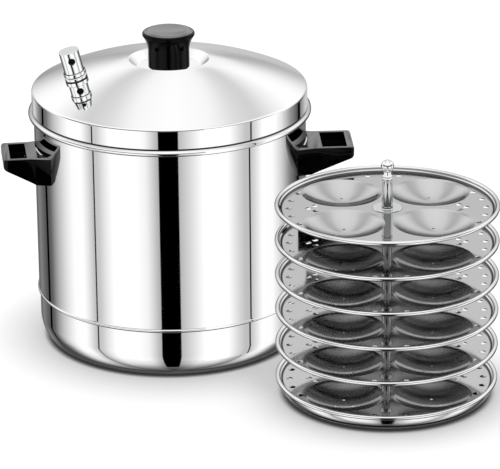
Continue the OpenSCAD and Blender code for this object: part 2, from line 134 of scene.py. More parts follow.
def build_studio():
    """World light by direction: a ring of flags, greyer below and under the back of the table, soft
    wedges above and behind, and a grey band low over the front.

    A faint grey patch straight behind shades the edges that are seen at a glancing angle."""
    world = bpy.data.worlds.new("studio")
    scene.world = world
    world.use_nodes = True
    tree = world.node_tree
    tree.nodes.clear()
    coord = add_node(tree, "ShaderNodeTexCoord", {}, {})
    axes = add_node(tree, "ShaderNodeSeparateXYZ", {}, {"Vector": coord.outputs["Generated"]})
    x, y, z = (axes.outputs[name] for name in "XYZ")

    def maths(operation, first, second=None):
        """One Math node on outputs or plain numbers."""
        settings = {"operation": operation}
        links = {}
        for i, value in enumerate((first, second)):
            if value is None:
                continue
            if isinstance(value, (int, float)):
                settings[i] = value
            else:
                links[i] = value
        return add_node(tree, "ShaderNodeMath", settings, links).outputs[0]

    def blend(first, second, factor, way="MIX"):
        """Mixes two colours, outputs or plain ones; factor 1 gives the second."""
        settings, links = {"data_type": "RGBA", "blend_type": way}, {}
        for i, value in ((0, factor), (6, first), (7, second)):
            if isinstance(value, (float, tuple)):
                settings[i] = value
            else:
                links[i] = value
        return add_node(tree, "ShaderNodeMix", settings, links).outputs[2]

    def step(value, start, end):
        """0 up to start, 1 from end on, smooth between."""
        node = add_node(tree, "ShaderNodeMapRange", {"interpolation_type": "SMOOTHSTEP", "From Min": start,
                                                     "From Max": end}, {"Value": value})
        return node.outputs["Result"]

    azimuth = maths("DEGREES", maths("ARCTAN2", x, maths("MULTIPLY", y, -1.0)))
    ring = ramp(tree, FLAG_LEVELS, -180, 180, azimuth)
    above_floor = step(z, -0.93, -0.90)
    for centre, half_width in BLACK_FLAGS:
        gap = maths("ABSOLUTE", maths("SUBTRACT", azimuth, centre))
        inside = maths("SUBTRACT", 1.0, step(gap, half_width - BLACK_EDGE, half_width + BLACK_EDGE))
        ring = blend(ring, (0, 0, 0, 1), maths("MULTIPLY", inside, above_floor))

    ring = blend(ring, ramp(tree, BELOW_LEVELS, -1, 0, z), 1.0, "MULTIPLY")
    under = maths("MULTIPLY", step(y, 0.05, 0.55), maths("SUBTRACT", 1.0, step(z, -0.62, -0.50)))
    ring = blend(ring, (0.10, 0.10, 0.10, 1), maths("MULTIPLY", under, 0.85))

    level_view = Vector((0, math.cos(CAMERA_DOWN), math.sin(CAMERA_DOWN)))
    lift = Vector((0, -math.sin(CAMERA_DOWN), math.cos(CAMERA_DOWN)))
    along = maths("ADD", maths("MULTIPLY", y, level_view.y), maths("MULTIPLY", z, level_view.z))
    over = maths("ADD", maths("MULTIPLY", y, lift.y), maths("MULTIPLY", z, lift.z))
    bearing = maths("ABSOLUTE", maths("DEGREES", maths("ARCTAN2", x, over)))
    back = ramp(tree, BACK_LEVELS, 0, 180, bearing)
    front = ramp(tree, FRONT_LEVELS, 0, 1, z)
    back = blend(back, (0.93, 0.93, 0.93, 1), step(along, 0.985, 0.996))
    upper = blend(front, back, step(along, 0.05, 0.35))
    light = blend(ring, upper, step(z, -0.02, 0.10))
    far_edge = maths("MULTIPLY", step(y, 0.90, 0.98), maths("SUBTRACT", 1.0, step(z, -0.05, 0.10)))
    light = blend(light, (0.12, 0.12, 0.12, 1), maths("MULTIPLY", far_edge, 0.2))

    path = add_node(tree, "ShaderNodeLightPath", {}, {})
    studio = add_node(tree, "ShaderNodeBackground", {"Strength": STUDIO_STRENGTH}, {"Color": light})
    plain = add_node(tree, "ShaderNodeBackground", {"Color": (1, 1, 1, 1), "Strength": 1.0}, {})
    chosen = add_node(tree, "ShaderNodeMixShader", {}, {
        0: path.outputs["Is Camera Ray"], 1: studio.outputs[0], 2: plain.outputs[0]})
    add_node(tree, "ShaderNodeOutputWorld", {}, {"Surface": chosen.outputs[0]})


build_studio()


def new_material(name):
    """An empty node material, and its tree."""
    made = bpy.data.materials.new(name)
    made.use_nodes = True
    made.node_tree.nodes.clear()
    return made, made.node_tree


def put_mesh(name, points, faces, normals=None):
    """A mesh object from an array of points and a list of faces, shaded with the given corner normals."""
    mesh = bpy.data.meshes.new(name)
    mesh.from_pydata(np.asarray(points).tolist(), [], faces)
    mesh.shade_smooth()
    if normals is not None:
        mesh.normals_split_custom_set(np.asarray(normals).tolist())
    made = bpy.data.objects.new(name, mesh)
    scene.collection.objects.link(made)
    return made


# The table is plain white paper. It takes the soft shadows of pot and rack, with a tight dark edge
# where they stand; its own glow towards the camera brings the open paper to white.
FLOOR_HALF = 4.0
FLOOR_SINK = 0.0004
TOUCH_REACH = 0.007
SHADE_REACH = 0.07
OPEN_GLOW = 0.66
corners = [(x * FLOOR_HALF, y * FLOOR_HALF, -FLOOR_SINK) for x, y in ((-1, -1), (1, -1), (1, 1), (-1, 1))]
floor = put_mesh("floor", corners, [(0, 1, 2, 3)])
paper, tree = new_material("white_paper")
path = add_node(tree, "ShaderNodeLightPath", {}, {})
touching = add_node(tree, "ShaderNodeAmbientOcclusion", {"samples": 12, "Distance": TOUCH_REACH}, {})
edge_shade = add_node(tree, "ShaderNodeMapRange", {
    "interpolation_type": "SMOOTHSTEP", "From Min": 0.25, "From Max": 0.95, "To Min": 0.06}, {
    "Value": touching.outputs["AO"]})
around = add_node(tree, "ShaderNodeAmbientOcclusion", {"samples": 12, "Distance": SHADE_REACH}, {})
soft_shade = add_node(tree, "ShaderNodeMapRange", {"From Min": 0.5, "From Max": 0.97, "To Min": 0.62},
                      {"Value": around.outputs["AO"]})
shade = add_node(tree, "ShaderNodeMath", {"operation": "MULTIPLY"}, {
    0: edge_shade.outputs["Result"], 1: soft_shade.outputs["Result"]})
tint = add_node(tree, "ShaderNodeMix", {"data_type": "RGBA", 6: (0.01, 0.01, 0.01, 1), 7: colour("c0c0c0")},
                {0: shade.outputs[0]})
matt = add_node(tree, "ShaderNodeBsdfDiffuse", {}, {"Color": tint.outputs[2]})
open_glow = add_node(tree, "ShaderNodeMath", {"operation": "MULTIPLY", 1: OPEN_GLOW},
                     {0: path.outputs["Is Camera Ray"]})
shaded_glow = add_node(tree, "ShaderNodeMath", {"operation": "MULTIPLY"},
                       {0: open_glow.outputs[0], 1: shade.outputs[0]})
glow = add_node(tree, "ShaderNodeEmission", {"Color": (1, 1, 1, 1)}, {"Strength": shaded_glow.outputs[0]})
both = add_node(tree, "ShaderNodeAddShader", {}, {0: matt.outputs[0], 1: glow.outputs[0]})
add_node(tree, "ShaderNodeOutputMaterial", {}, {"Surface": both.outputs[0]})
floor.data.materials.append(paper)
floor.visible_glossy = False

# A bent white card stands between pot and rack, so that the pot's wall mirrors an even studio there
# and not the rack. Only reflections see it, and only from the pot's side.
CARD_R = 0.134
CARD_TOP = 0.236
CARD_STEPS = 48
# Azimuth round the pot in degrees, and level, as the flags behind the card have them
CARD_LEVELS = (
    (16.0, 1.0), (27.2, 1.0), (32.8, 0.84), (36.1, 0.75), (38.55, 0.74), (38.65, 0.0), (39.4, 0.0),
    (39.5, 0.76), (42.8, 0.88), (46.2, 1.0), (53.2, 1.0), (60.2, 0.85),
)
CARD_START = CARD_LEVELS[0][0]
CARD_END = CARD_LEVELS[-1][0]
bend = np.radians(np.linspace(CARD_START, CARD_END, CARD_STEPS + 1))
foot_line = np.stack([CARD_R * np.sin(bend), -CARD_R * np.cos(bend), np.zeros(len(bend))], axis=1)
near = np.arange(CARD_STEPS)
over = near + len(bend)
card = put_mesh("card", np.concatenate([foot_line, foot_line + (0, 0, CARD_TOP)]),
                np.stack([near, over, over + 1, near + 1], axis=1).tolist())
white_card, tree = new_material("white_card")
coord = add_node(tree, "ShaderNodeTexCoord", {}, {})
axes = add_node(tree, "ShaderNodeSeparateXYZ", {}, {"Vector": coord.outputs["Object"]})
front_y = add_node(tree, "ShaderNodeMath", {"operation": "MULTIPLY", 1: -1.0}, {0: axes.outputs["Y"]})
round_pot = add_node(tree, "ShaderNodeMath", {"operation": "ARCTAN2"},
                     {0: axes.outputs["X"], 1: front_y.outputs[0]})
degrees = add_node(tree, "ShaderNodeMath", {"operation": "DEGREES"}, {0: round_pot.outputs[0]})
level = ramp(tree, CARD_LEVELS, CARD_START, CARD_END, degrees.outputs[0])
lit = add_node(tree, "ShaderNodeEmission", {"Strength": STUDIO_STRENGTH}, {"Color": level})
clear = add_node(tree, "ShaderNodeBsdfTransparent", {}, {})
facing = add_node(tree, "ShaderNodeNewGeometry", {}, {})
sided = add_node(tree, "ShaderNodeMixShader", {}, {
    0: facing.outputs["Backfacing"], 1: lit.outputs[0], 2: clear.outputs[0]})
add_node(tree, "ShaderNodeOutputMaterial", {}, {"Surface": sided.outputs[0]})
card.data.materials.append(white_card)
card.visible_camera = False
card.visible_diffuse = False
card.visible_transmission = False
card.visible_shadow = False


def arc(centre, radius, start, end, steps):
    """Points of a circle's arc in an outline: centre plus radius times cosine and sine, in degrees."""
    angle = np.radians(np.linspace(start, end, steps + 1))
    return np.stack([centre[0] + radius * np.cos(angle), centre[1] + radius * np.sin(angle)], axis=1)


def outline(*parts):
    """One outline in millimetres from loose points and arcs, without doubled points, in metres."""
    points = np.concatenate([np.atleast_2d(np.asarray(part, dtype=float)) for part in parts])
    keep = np.concatenate([[True], np.linalg.norm(np.diff(points, axis=0), axis=1) > 1e-4])
    return points[keep] * 0.001


def spin(points, segments=192, closed=False, crease=34.0):
    """Turns an outline (radius, height) about the z axis: x = r cos t, y = r sin t, z = h.

    Gives points, faces and corner normals. Neighbouring stretches share a normal, weighted by
    their length, unless they meet at more than the crease angle. A closed outline joins its ends."""
    count = len(points)
    following = np.roll(points, -1, axis=0)
    used = count if closed else count - 1
    run = (following - points)[:used]
    length = np.linalg.norm(run, axis=1)
    flat = np.stack([run[:, 1], -run[:, 0]], axis=1) / length[:, None]
    weighted = flat * (length ** 2)[:, None]
    before = np.roll(np.arange(used), 1)
    shared = weighted + weighted[before]
    shared /= np.linalg.norm(shared, axis=1)[:, None]
    soft = np.sum(flat * flat[before], axis=1) > math.cos(math.radians(crease))
    if not closed:
        soft[0] = False
    start = np.where(soft[:, None], shared, flat)
    after = np.roll(np.arange(used), -1)
    soft_end = soft[after].copy()
    if not closed:
        soft_end[-1] = False
    end = np.where(soft_end[:, None], shared[after], flat)

    angle = np.arange(segments) * 2 * math.pi / segments
    cosine, sine = np.cos(angle), np.sin(angle)
    pole = points[:, 0] < 1e-7
    first = np.concatenate([[0], np.cumsum(np.where(pole, 1, segments))])[:-1]
    places = []
    for (radius, height), single in zip(points, pole):
        if single:
            places.append(np.array([[0.0, 0.0, height]]))
        else:
            places.append(np.stack([radius * cosine, radius * sine, np.full(segments, height)], axis=1))
    near = np.arange(segments)
    far = (near + 1) % segments

    def turned(normal, index):
        """An outline's normal turned to these steps round the axis."""
        return np.stack([normal[0] * cosine[index], normal[0] * sine[index],
                         np.full(len(index), normal[1])], axis=1)

    faces, normals = [], []
    for i in range(used):
        j = (i + 1) % count
        if pole[i]:
            ring = [np.full(segments, first[i]), first[j] + far, first[j] + near]
            shade = [turned(start[i], near), turned(end[i], far), turned(end[i], near)]
        elif pole[j]:
            ring = [first[i] + near, first[i] + far, np.full(segments, first[j])]
            shade = [turned(start[i], near), turned(start[i], far), turned(end[i], near)]
        else:
            ring = [first[i] + near, first[i] + far, first[j] + far, first[j] + near]
            shade = [turned(start[i], near), turned(start[i], far),
                     turned(end[i], far), turned(end[i], near)]
        faces += np.stack(ring, axis=1).tolist()
        normals.append(np.stack(shade, axis=1).reshape(-1, 3))
    return np.concatenate(places), faces, np.concatenate(normals)


def lay(piece, node, body, material):
    """Gives a finished piece its material, body, slot and the solid that it stands for.

    Lugs and rack show in reflections. Pot, lid, knob and whistle don't, so that the sheet next to
    them mirrors the studio."""
    piece.data.materials.append(material)
    piece.visible_glossy = body not in ("lid", "whistle") and node != "pot_shell"
    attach(piece, body)
    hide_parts(node)


def dress(node, material):
    """Gives a solid that keeps its own mesh a finish through its material slots."""
    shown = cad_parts[node]
    shown.visible_glossy = False
    if not shown.material_slots:
        shown.data.materials.append(material)
    for place in shown.material_slots:
        place.material = material


# The pot is deep drawn from stainless sheet and buffed to a mirror outside. A ridge is pressed
# round its foot, and the rim is rolled outwards into a bead.
POT_R = 122.6
SHEET = 0.8
POT_FLOOR = 1.6
RIM_Z = 212.6
BEAD_R = 2.5
BEAD_C = POT_R + BEAD_R - 0.24
RIDGE_Z = 46.2
RIDGE_R = 1.3
LOW_R = POT_R - 1.0
CORNER_WIDE = 14.0
CORNER_TALL = 22.0
CORNER_STEPS = 24
POT_SIDES = 256
# Height over the rim in mm, and level: a painted shadow line where the wall runs up under the bead
UNDER_BEAD = ((-4.0, 0.97), (-2.7, 0.97), (-2.45, 0.15), (-1.75, 0.15), (-1.45, 0.97), (3.0, 0.97))


def mirror_steel(name, code, roughness, haze_mm, haze, edge="ffffff"):
    """Buffed stainless steel: bright, near colourless, with faint cloudy haze left by the wheel.

    The edge colour is what the steel turns to where it is seen at a glancing angle."""
    made, tree = new_material(name)
    coord = add_node(tree, "ShaderNodeTexCoord", {}, {})
    cloud = add_node(tree, "ShaderNodeTexNoise", {"Scale": 1000.0 / haze_mm, "Detail": 3.0, "Roughness": 0.6},
                     {"Vector": coord.outputs["Object"]})
    rough = add_node(tree, "ShaderNodeMapRange", {"From Min": 0.35, "From Max": 0.7, "To Min": roughness,
                                                  "To Max": roughness + haze},
                     {"Value": cloud.outputs["Fac"]})
    steel = add_node(tree, "ShaderNodeBsdfPrincipled", {"Base Color": colour(code), "Metallic": 1.0,
                                                        "Specular Tint": colour(edge)},
                     {"Roughness": rough.outputs["Result"]})
    add_node(tree, "ShaderNodeOutputMaterial", {}, {"Surface": steel.outputs[0]})
    return made


def corner(depth, start, end):
    """The pot's lower corner, a quarter of an ellipse, this deep inside the sheet."""
    sweep = np.radians(np.linspace(start, end, CORNER_STEPS + 1))
    return np.stack([LOW_R - CORNER_WIDE + (CORNER_WIDE - depth) * np.cos(sweep),
                     CORNER_TALL + (CORNER_TALL - depth) * np.sin(sweep)], axis=1)


pot_outline = outline(
    (0, 0), corner(0, -90, 0),
    (LOW_R, RIDGE_Z - RIDGE_R - 0.9), arc((POT_R - 0.2, RIDGE_Z), RIDGE_R, -66, 66, 8),
    (POT_R, RIDGE_Z + RIDGE_R + 0.9), (POT_R, RIM_Z - 0.98),
    arc((BEAD_C, RIM_Z), BEAD_R, -157, 180, 34),
    (POT_R - SHEET, RIM_Z), (POT_R - SHEET, RIDGE_Z + 1), (LOW_R - SHEET, RIDGE_Z - 1),
    corner(SHEET, 0, -90) + np.array([0, POT_FLOOR - SHEET]), (0, POT_FLOOR))
pot = put_mesh("steel_pot", *spin(pot_outline, POT_SIDES))
pot_polish = mirror_steel("buffed_stainless_pot", "f6f7f8", 0.025, 60.0, 0.02, "909090")
pot_tree = pot_polish.node_tree
coord = add_node(pot_tree, "ShaderNodeTexCoord", {}, {})
axes = add_node(pot_tree, "ShaderNodeSeparateXYZ", {}, {"Vector": coord.outputs["Object"]})
# Painted shade: the pot's colour follows these levels by height, a dark line under the bead
bead_levels = tuple(((RIM_Z + above) * 0.001, level) for above, level in UNDER_BEAD)
sheet = ramp(pot_tree, bead_levels, bead_levels[0][0], bead_levels[-1][0], axes.outputs["Z"])
steel = next(node for node in pot_tree.nodes if node.type == "BSDF_PRINCIPLED")
pot_tree.links.new(sheet, steel.inputs["Base Color"])
lay(pot, "pot_shell", "pot", pot_polish)

# The lugs are pressed from black phenolic resin: hard, glossy, with softened edges and a faint
# orange peel. Their top faces get a lighter copy of the resin, a painted highlight where light
# falls on them. Each lug is a copy of its solid with the edges rounded.
LUG_EDGE = 0.0009
LUG_SHARP = 28
LUG_TOP_BAND = 0.003
MERGE_GAP = 0.00002
FLAT_WITHIN = 0.8


def phenolic(name, code, roughness, index):
    """Black phenolic of this refractive index: dark gloss, slightly wavy, duller where it is handled."""
    made, tree = new_material(name)
    coord = add_node(tree, "ShaderNodeTexCoord", {}, {})
    peel = add_node(tree, "ShaderNodeTexNoise", {"Scale": 420.0, "Detail": 2.0},
                    {"Vector": coord.outputs["Object"]})
    touch = add_node(tree, "ShaderNodeTexNoise", {"Scale": 55.0, "Detail": 4.0},
                     {"Vector": coord.outputs["Object"]})
    rough = add_node(tree, "ShaderNodeMapRange", {"From Min": 0.3, "From Max": 0.7, "To Min": roughness,
                                                  "To Max": roughness + 0.04},
                     {"Value": touch.outputs["Fac"]})
    bump = add_node(tree, "ShaderNodeBump", {"Strength": 0.04, "Distance": 0.0003},
                    {"Height": peel.outputs["Fac"]})
    resin = add_node(tree, "ShaderNodeBsdfPrincipled", {"Base Color": colour(code), "IOR": index},
                     {"Roughness": rough.outputs["Result"], "Normal": bump.outputs["Normal"]})
    add_node(tree, "ShaderNodeOutputMaterial", {}, {"Surface": resin.outputs[0]})
    return made


def rounded_copy(name, node, width, angle):
    """A merged copy of a solid's mesh, its flat faces joined, with a bevel on every sharp edge."""
    shape = bmesh.new()
    shape.from_mesh(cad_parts[node].data)
    bmesh.ops.remove_doubles(shape, verts=shape.verts, dist=MERGE_GAP)
    bmesh.ops.dissolve_limit(shape, angle_limit=math.radians(FLAT_WITHIN), verts=shape.verts,
                             edges=shape.edges)
    mesh = bpy.data.meshes.new(name)
    shape.to_mesh(mesh)
    shape.free()
    mesh.shade_smooth()
    made = bpy.data.objects.new(name, mesh)
    scene.collection.objects.link(made)
    edge = made.modifiers.new("rounded_edges", "BEVEL")
    edge.width = width
    edge.segments = 3
    edge.limit_method = "ANGLE"
    edge.angle_limit = math.radians(angle)
    edge.harden_normals = True
    return made


black_phenolic = phenolic("moulded_black_phenolic", "030304", 0.04, 1.24)
# Painted highlight: a lighter, shinier copy of the black resin for the upward faces
lit_top_phenolic = phenolic("painted_lit_black_phenolic", "38383a", 0.10, 1.8)
for side in ("left", "right"):
    lug = rounded_copy(f"lug_{side}", f"handle_{side}", LUG_EDGE, LUG_SHARP)
    lay(lug, f"handle_{side}", "pot", black_phenolic)
    lug.data.materials.append(lit_top_phenolic)
    lug_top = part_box(f"handle_{side}")[1][2]
    for face in lug.data.polygons:
        if face.normal.z > 0.8 and face.center.z > lug_top - LUG_TOP_BAND:
            face.material_index = 1


# Tabs, washer and nuts are bright zinc plated steel, duller than the polished sheet. The screws of
# the lugs are blackened.
def plated_steel(name, code):
    """Zinc plated steel: soft sheen with a fine mottle."""
    made, tree = new_material(name)
    coord = add_node(tree, "ShaderNodeTexCoord", {}, {})
    mottle = add_node(tree, "ShaderNodeTexNoise", {"Scale": 700.0, "Detail": 3.0},
                      {"Vector": coord.outputs["Object"]})
    rough = add_node(tree, "ShaderNodeMapRange", {"To Min": 0.22, "To Max": 0.42},
                     {"Value": mottle.outputs["Fac"]})
    zinc = add_node(tree, "ShaderNodeBsdfPrincipled", {"Base Color": colour(code), "Metallic": 1.0},
                    {"Roughness": rough.outputs["Result"]})
    add_node(tree, "ShaderNodeOutputMaterial", {}, {"Surface": zinc.outputs[0]})
    return made


zinc_plate = plated_steel("zinc_plated_steel", "cfd1d3")
for node in ("handle_brackets", "knob_washer", "knob_screw", "vent_nut", "spindle_nut"):
    dress(node, zinc_plate)
dress("handle_screws", plated_steel("blackened_screw_steel", "232325"))

# The lid is pressed from the same sheet: a sunk dish under the knob, a wide dome, a tight shoulder
# and a straight skirt. The dome is left with a soft satin buff, the skirt is a mirror.
LID_R = 124.0
SKIRT_Z = RIM_Z + BEAD_R + 0.25
SHOULDER_Z = SKIRT_Z + 16.7
SHOULDER_R = 3.2
DOME_R = 286.0
DISH_R = 36.8
DISH_DEPTH = 7.5
DISH_FLOOR_R = DISH_R - DISH_DEPTH - 1.0
DISH_FILLET_R = 1.6
DISH_EDGE_R = 1.5
HEM_R = 0.7
PLUG_R = POT_R - SHEET - 0.5
PLUG_H = 9.0
SCREW_HOLE_R = 2.8
SHOULDER_C = LID_R - SHOULDER_R
DOME_Z = SHOULDER_Z - math.sqrt((DOME_R - SHOULDER_R) ** 2 - SHOULDER_C ** 2)
DISH_EDGE_Z = DOME_Z + math.sqrt(DOME_R ** 2 - DISH_R ** 2)
DISH_Z = DISH_EDGE_Z - DISH_DEPTH
DISH_TURN = math.degrees(math.acos(DISH_R / DOME_R))
SHOULDER_TURN = math.degrees(math.acos(SHOULDER_C / (DOME_R - SHOULDER_R)))
# Heights in metres between which the skirt's mirror turns to the dome's satin, and the painted shade at the
# skirt's foot ends
SATIN_FROM = (SHOULDER_Z + 1.4) * 0.001
SATIN_TO = (SHOULDER_Z + 2.4) * 0.001
SKIRT_SHADE_FROM = (SKIRT_Z + 0.9) * 0.001
SKIRT_SHADE_TO = (SKIRT_Z + 1.3) * 0.001


def lid_line(depth):
    """The lid's section from the centre of the dish out to the plug's lower edge, depth mm inside."""
    if depth == 0:
        hem = arc((LID_R - HEM_R, SKIRT_Z + HEM_R), HEM_R, 0, -90, 4)
    else:
        hem = (LID_R - depth, SKIRT_Z + depth)
    return (
        (SCREW_HOLE_R, DISH_Z - depth), (DISH_FLOOR_R - depth * 0.6, DISH_Z - depth),
        arc((DISH_FLOOR_R, DISH_Z + DISH_FILLET_R), DISH_FILLET_R + depth, -80, -46, 6),
        arc((DISH_R - 0.4, DISH_EDGE_Z - DISH_EDGE_R), DISH_EDGE_R - depth, 134, DISH_TURN, 8),
        arc((0, DOME_Z), DOME_R - depth, DISH_TURN - 0.6, SHOULDER_TURN + 0.5, 40),
        arc((SHOULDER_C, SHOULDER_Z), SHOULDER_R - depth, SHOULDER_TURN - 2, 0, 12),
        hem, (PLUG_R - depth, SKIRT_Z + depth), (PLUG_R - depth, SKIRT_Z - PLUG_H))


lid_outline = outline(*lid_line(0.0), *[np.atleast_2d(part)[::-1] for part in reversed(lid_line(SHEET))])


def satin_lid_steel():
    """One sheet: a mirror skirt, a dome buffed to a soft satin, and a dark line of painted shade at the
    skirt's foot.
    """
    made, tree = new_material("satin_domed_stainless")
    coord = add_node(tree, "ShaderNodeTexCoord", {}, {})
    axes = add_node(tree, "ShaderNodeSeparateXYZ", {}, {"Vector": coord.outputs["Object"]})
    dome = add_node(tree, "ShaderNodeMapRange", {
        "From Min": SATIN_FROM, "From Max": SATIN_TO, "To Min": 0.03, "To Max": 0.12},
        {"Value": axes.outputs["Z"]})
    # Painted shade: the skirt's curled foot, where it sits over the pot's bead, is coloured dark
    edge = add_node(tree, "ShaderNodeMapRange", {"From Min": SKIRT_SHADE_FROM, "From Max": SKIRT_SHADE_TO},
                    {"Value": axes.outputs["Z"]})
    sheet = add_node(tree, "ShaderNodeMix", {"data_type": "RGBA", 6: colour("2a2a2c"), 7: colour("fcfcfd")},
                     {0: edge.outputs["Result"]})
    steel = add_node(tree, "ShaderNodeBsdfPrincipled", {"Metallic": 1.0, "Specular Tint": colour("f6f6f6")},
                     {"Roughness": dome.outputs["Result"], "Base Color": sheet.outputs[2]})
    add_node(tree, "ShaderNodeOutputMaterial", {}, {"Surface": steel.outputs[0]})
    return made


lid = put_mesh("steel_lid", *spin(lid_outline, POT_SIDES, closed=True))
lay(lid, "lid_shell", "lid", satin_lid_steel())

# The knob is one black phenolic moulding: a waisted neck that flares into a round cap with a
# shallow dish on top, whose top face has a painted highlight like the lugs'. A brass bush inside takes the
# screw.
KNOB_R = 23.6
NECK_R = 18.5
KNOB_TOP = DISH_Z + 34.2
KNOB_DISH_R = KNOB_R - 6.4
KNOB_DISH_Z = KNOB_TOP - 1.2
KNOB_DISH_RISE = 1.05
KNOB_FOOT_R = 0.9
KNOB_EDGE_R = 2.7
KNOB_SIDES = 128
FLARE_Z = KNOB_TOP - 19.2
FLARE_H = 12.6
rise = np.linspace(0, 1, 13)
dish = np.stack([KNOB_DISH_R * (1 - rise), KNOB_DISH_Z + KNOB_DISH_RISE * (1 - rise) ** 2], axis=1)
flare = np.stack([NECK_R + 0.7 * (KNOB_R - NECK_R) * rise ** 2, FLARE_Z + FLARE_H * rise], axis=1)
knob_outline = outline(
    (0, DISH_Z + 0.02), (NECK_R - KNOB_FOOT_R, DISH_Z + 0.02),
    arc((NECK_R - KNOB_FOOT_R, DISH_Z + KNOB_FOOT_R), KNOB_FOOT_R, -90, 0, 4), flare,
    arc((KNOB_R - KNOB_EDGE_R, KNOB_TOP - 3.6), KNOB_EDGE_R, -48, 66, 12), (KNOB_R - 3.6, KNOB_TOP - 0.4),
    (KNOB_R - 5.0, KNOB_TOP - 0.06), dish)
knob = put_mesh("knob", *spin(knob_outline, KNOB_SIDES))
lay(knob, "lid_knob", "lid", phenolic("moulded_black_phenolic_knob", "030304", 0.05, 1.2))
# Painted highlight: the knob's top face gets a lighter, shinier copy of the resin
knob.data.materials.append(phenolic("painted_lit_black_phenolic_knob", "4a4a4c", 0.12, 2.3))
for face in knob.data.polygons:
    if face.normal.z > 0.9 and face.center.z > (KNOB_TOP - 2.0) * 0.001:
        face.material_index = 1
brass, tree = new_material("turned_brass")
coord = add_node(tree, "ShaderNodeTexCoord", {}, {})
rings = add_node(tree, "ShaderNodeTexNoise", {"Scale": 900.0}, {"Vector": coord.outputs["Object"]})
rough = add_node(tree, "ShaderNodeMapRange", {"To Min": 0.2, "To Max": 0.35}, {"Value": rings.outputs["Fac"]})
metal = add_node(tree, "ShaderNodeBsdfPrincipled", {"Base Color": colour("d0a85c"), "Metallic": 1.0},
                 {"Roughness": rough.outputs["Result"]})
add_node(tree, "ShaderNodeOutputMaterial", {}, {"Surface": metal.outputs[0]})
dress("knob_insert", brass)

# The seal of the whistle's stem is a ring of moulded black rubber: matt, with a greyish bloom. The
# nut inside the lid presses it against the dome.
rubber, tree = new_material("black_seal_rubber")
coord = add_node(tree, "ShaderNodeTexCoord", {}, {})
bloom = add_node(tree, "ShaderNodeTexNoise", {"Scale": 300.0}, {"Vector": coord.outputs["Object"]})
rough = add_node(tree, "ShaderNodeMapRange", {"To Min": 0.6, "To Max": 0.85}, {"Value": bloom.outputs["Fac"]})
skin = add_node(tree, "ShaderNodeBsdfPrincipled", {"Base Color": colour("1c1c1c")},
                {"Roughness": rough.outputs["Result"]})
add_node(tree, "ShaderNodeOutputMaterial", {}, {"Surface": skin.outputs[0]})
dress("vent_gasket", rubber)

# The whistle is turned from steel bar in two pieces: a stem with a ring and collar that a nut holds
# in the dome, and a loose cap with a grooved collar. Both lean out to the left.
VENT_RHO = LID_R - 17.5
VENT_TURN = math.radians(-133.0)
VENT_LEAN = math.radians(14.4)
VENT_LEAN_TURN = math.radians(-158.4)
VENT_FOOT = Vector((VENT_RHO * math.cos(VENT_TURN), VENT_RHO * math.sin(VENT_TURN),
                    DOME_Z + math.sqrt(DOME_R ** 2 - VENT_RHO ** 2))) * 0.001
vent_turned = Matrix.Rotation(VENT_LEAN_TURN, 3, "Z") @ Matrix.Rotation(VENT_LEAN, 3, "Y")
COLLAR_R = 10.0
CAP_R = 8.8
BARREL_R = COLLAR_R - 1.6
STEM_TOP = 27.0
STEM_BASE = 0.22 * STEM_TOP
RING_LOW = 0.29 * STEM_TOP
RING_TOP = 0.47 * STEM_TOP
COLLAR_LOW = 0.82 * STEM_TOP
CAP_BASE = STEM_TOP + 0.5
CAP_NECK = CAP_BASE + 7.2
CAP_TOP = CAP_NECK + 19.37
OUTLET_TURN = math.radians(77)
OUTLET_R = 3.2
OUTLET_SIDES = 28
OUTLET_DEPTH = 2.0
WHISTLE_SIDES = 96
STEM_BORE_R = 1.5
STEM_FOOT = -3.0
ROW_STEP = 1.2
HOLE_MARGIN = 0.3


def on_vent(points, faces, normals):
    """Moves a turned shape from the z axis onto the whistle's leaning axis."""
    lean = np.array(vent_turned)
    return points @ lean.T + np.array(VENT_FOOT), faces, normals @ lean.T


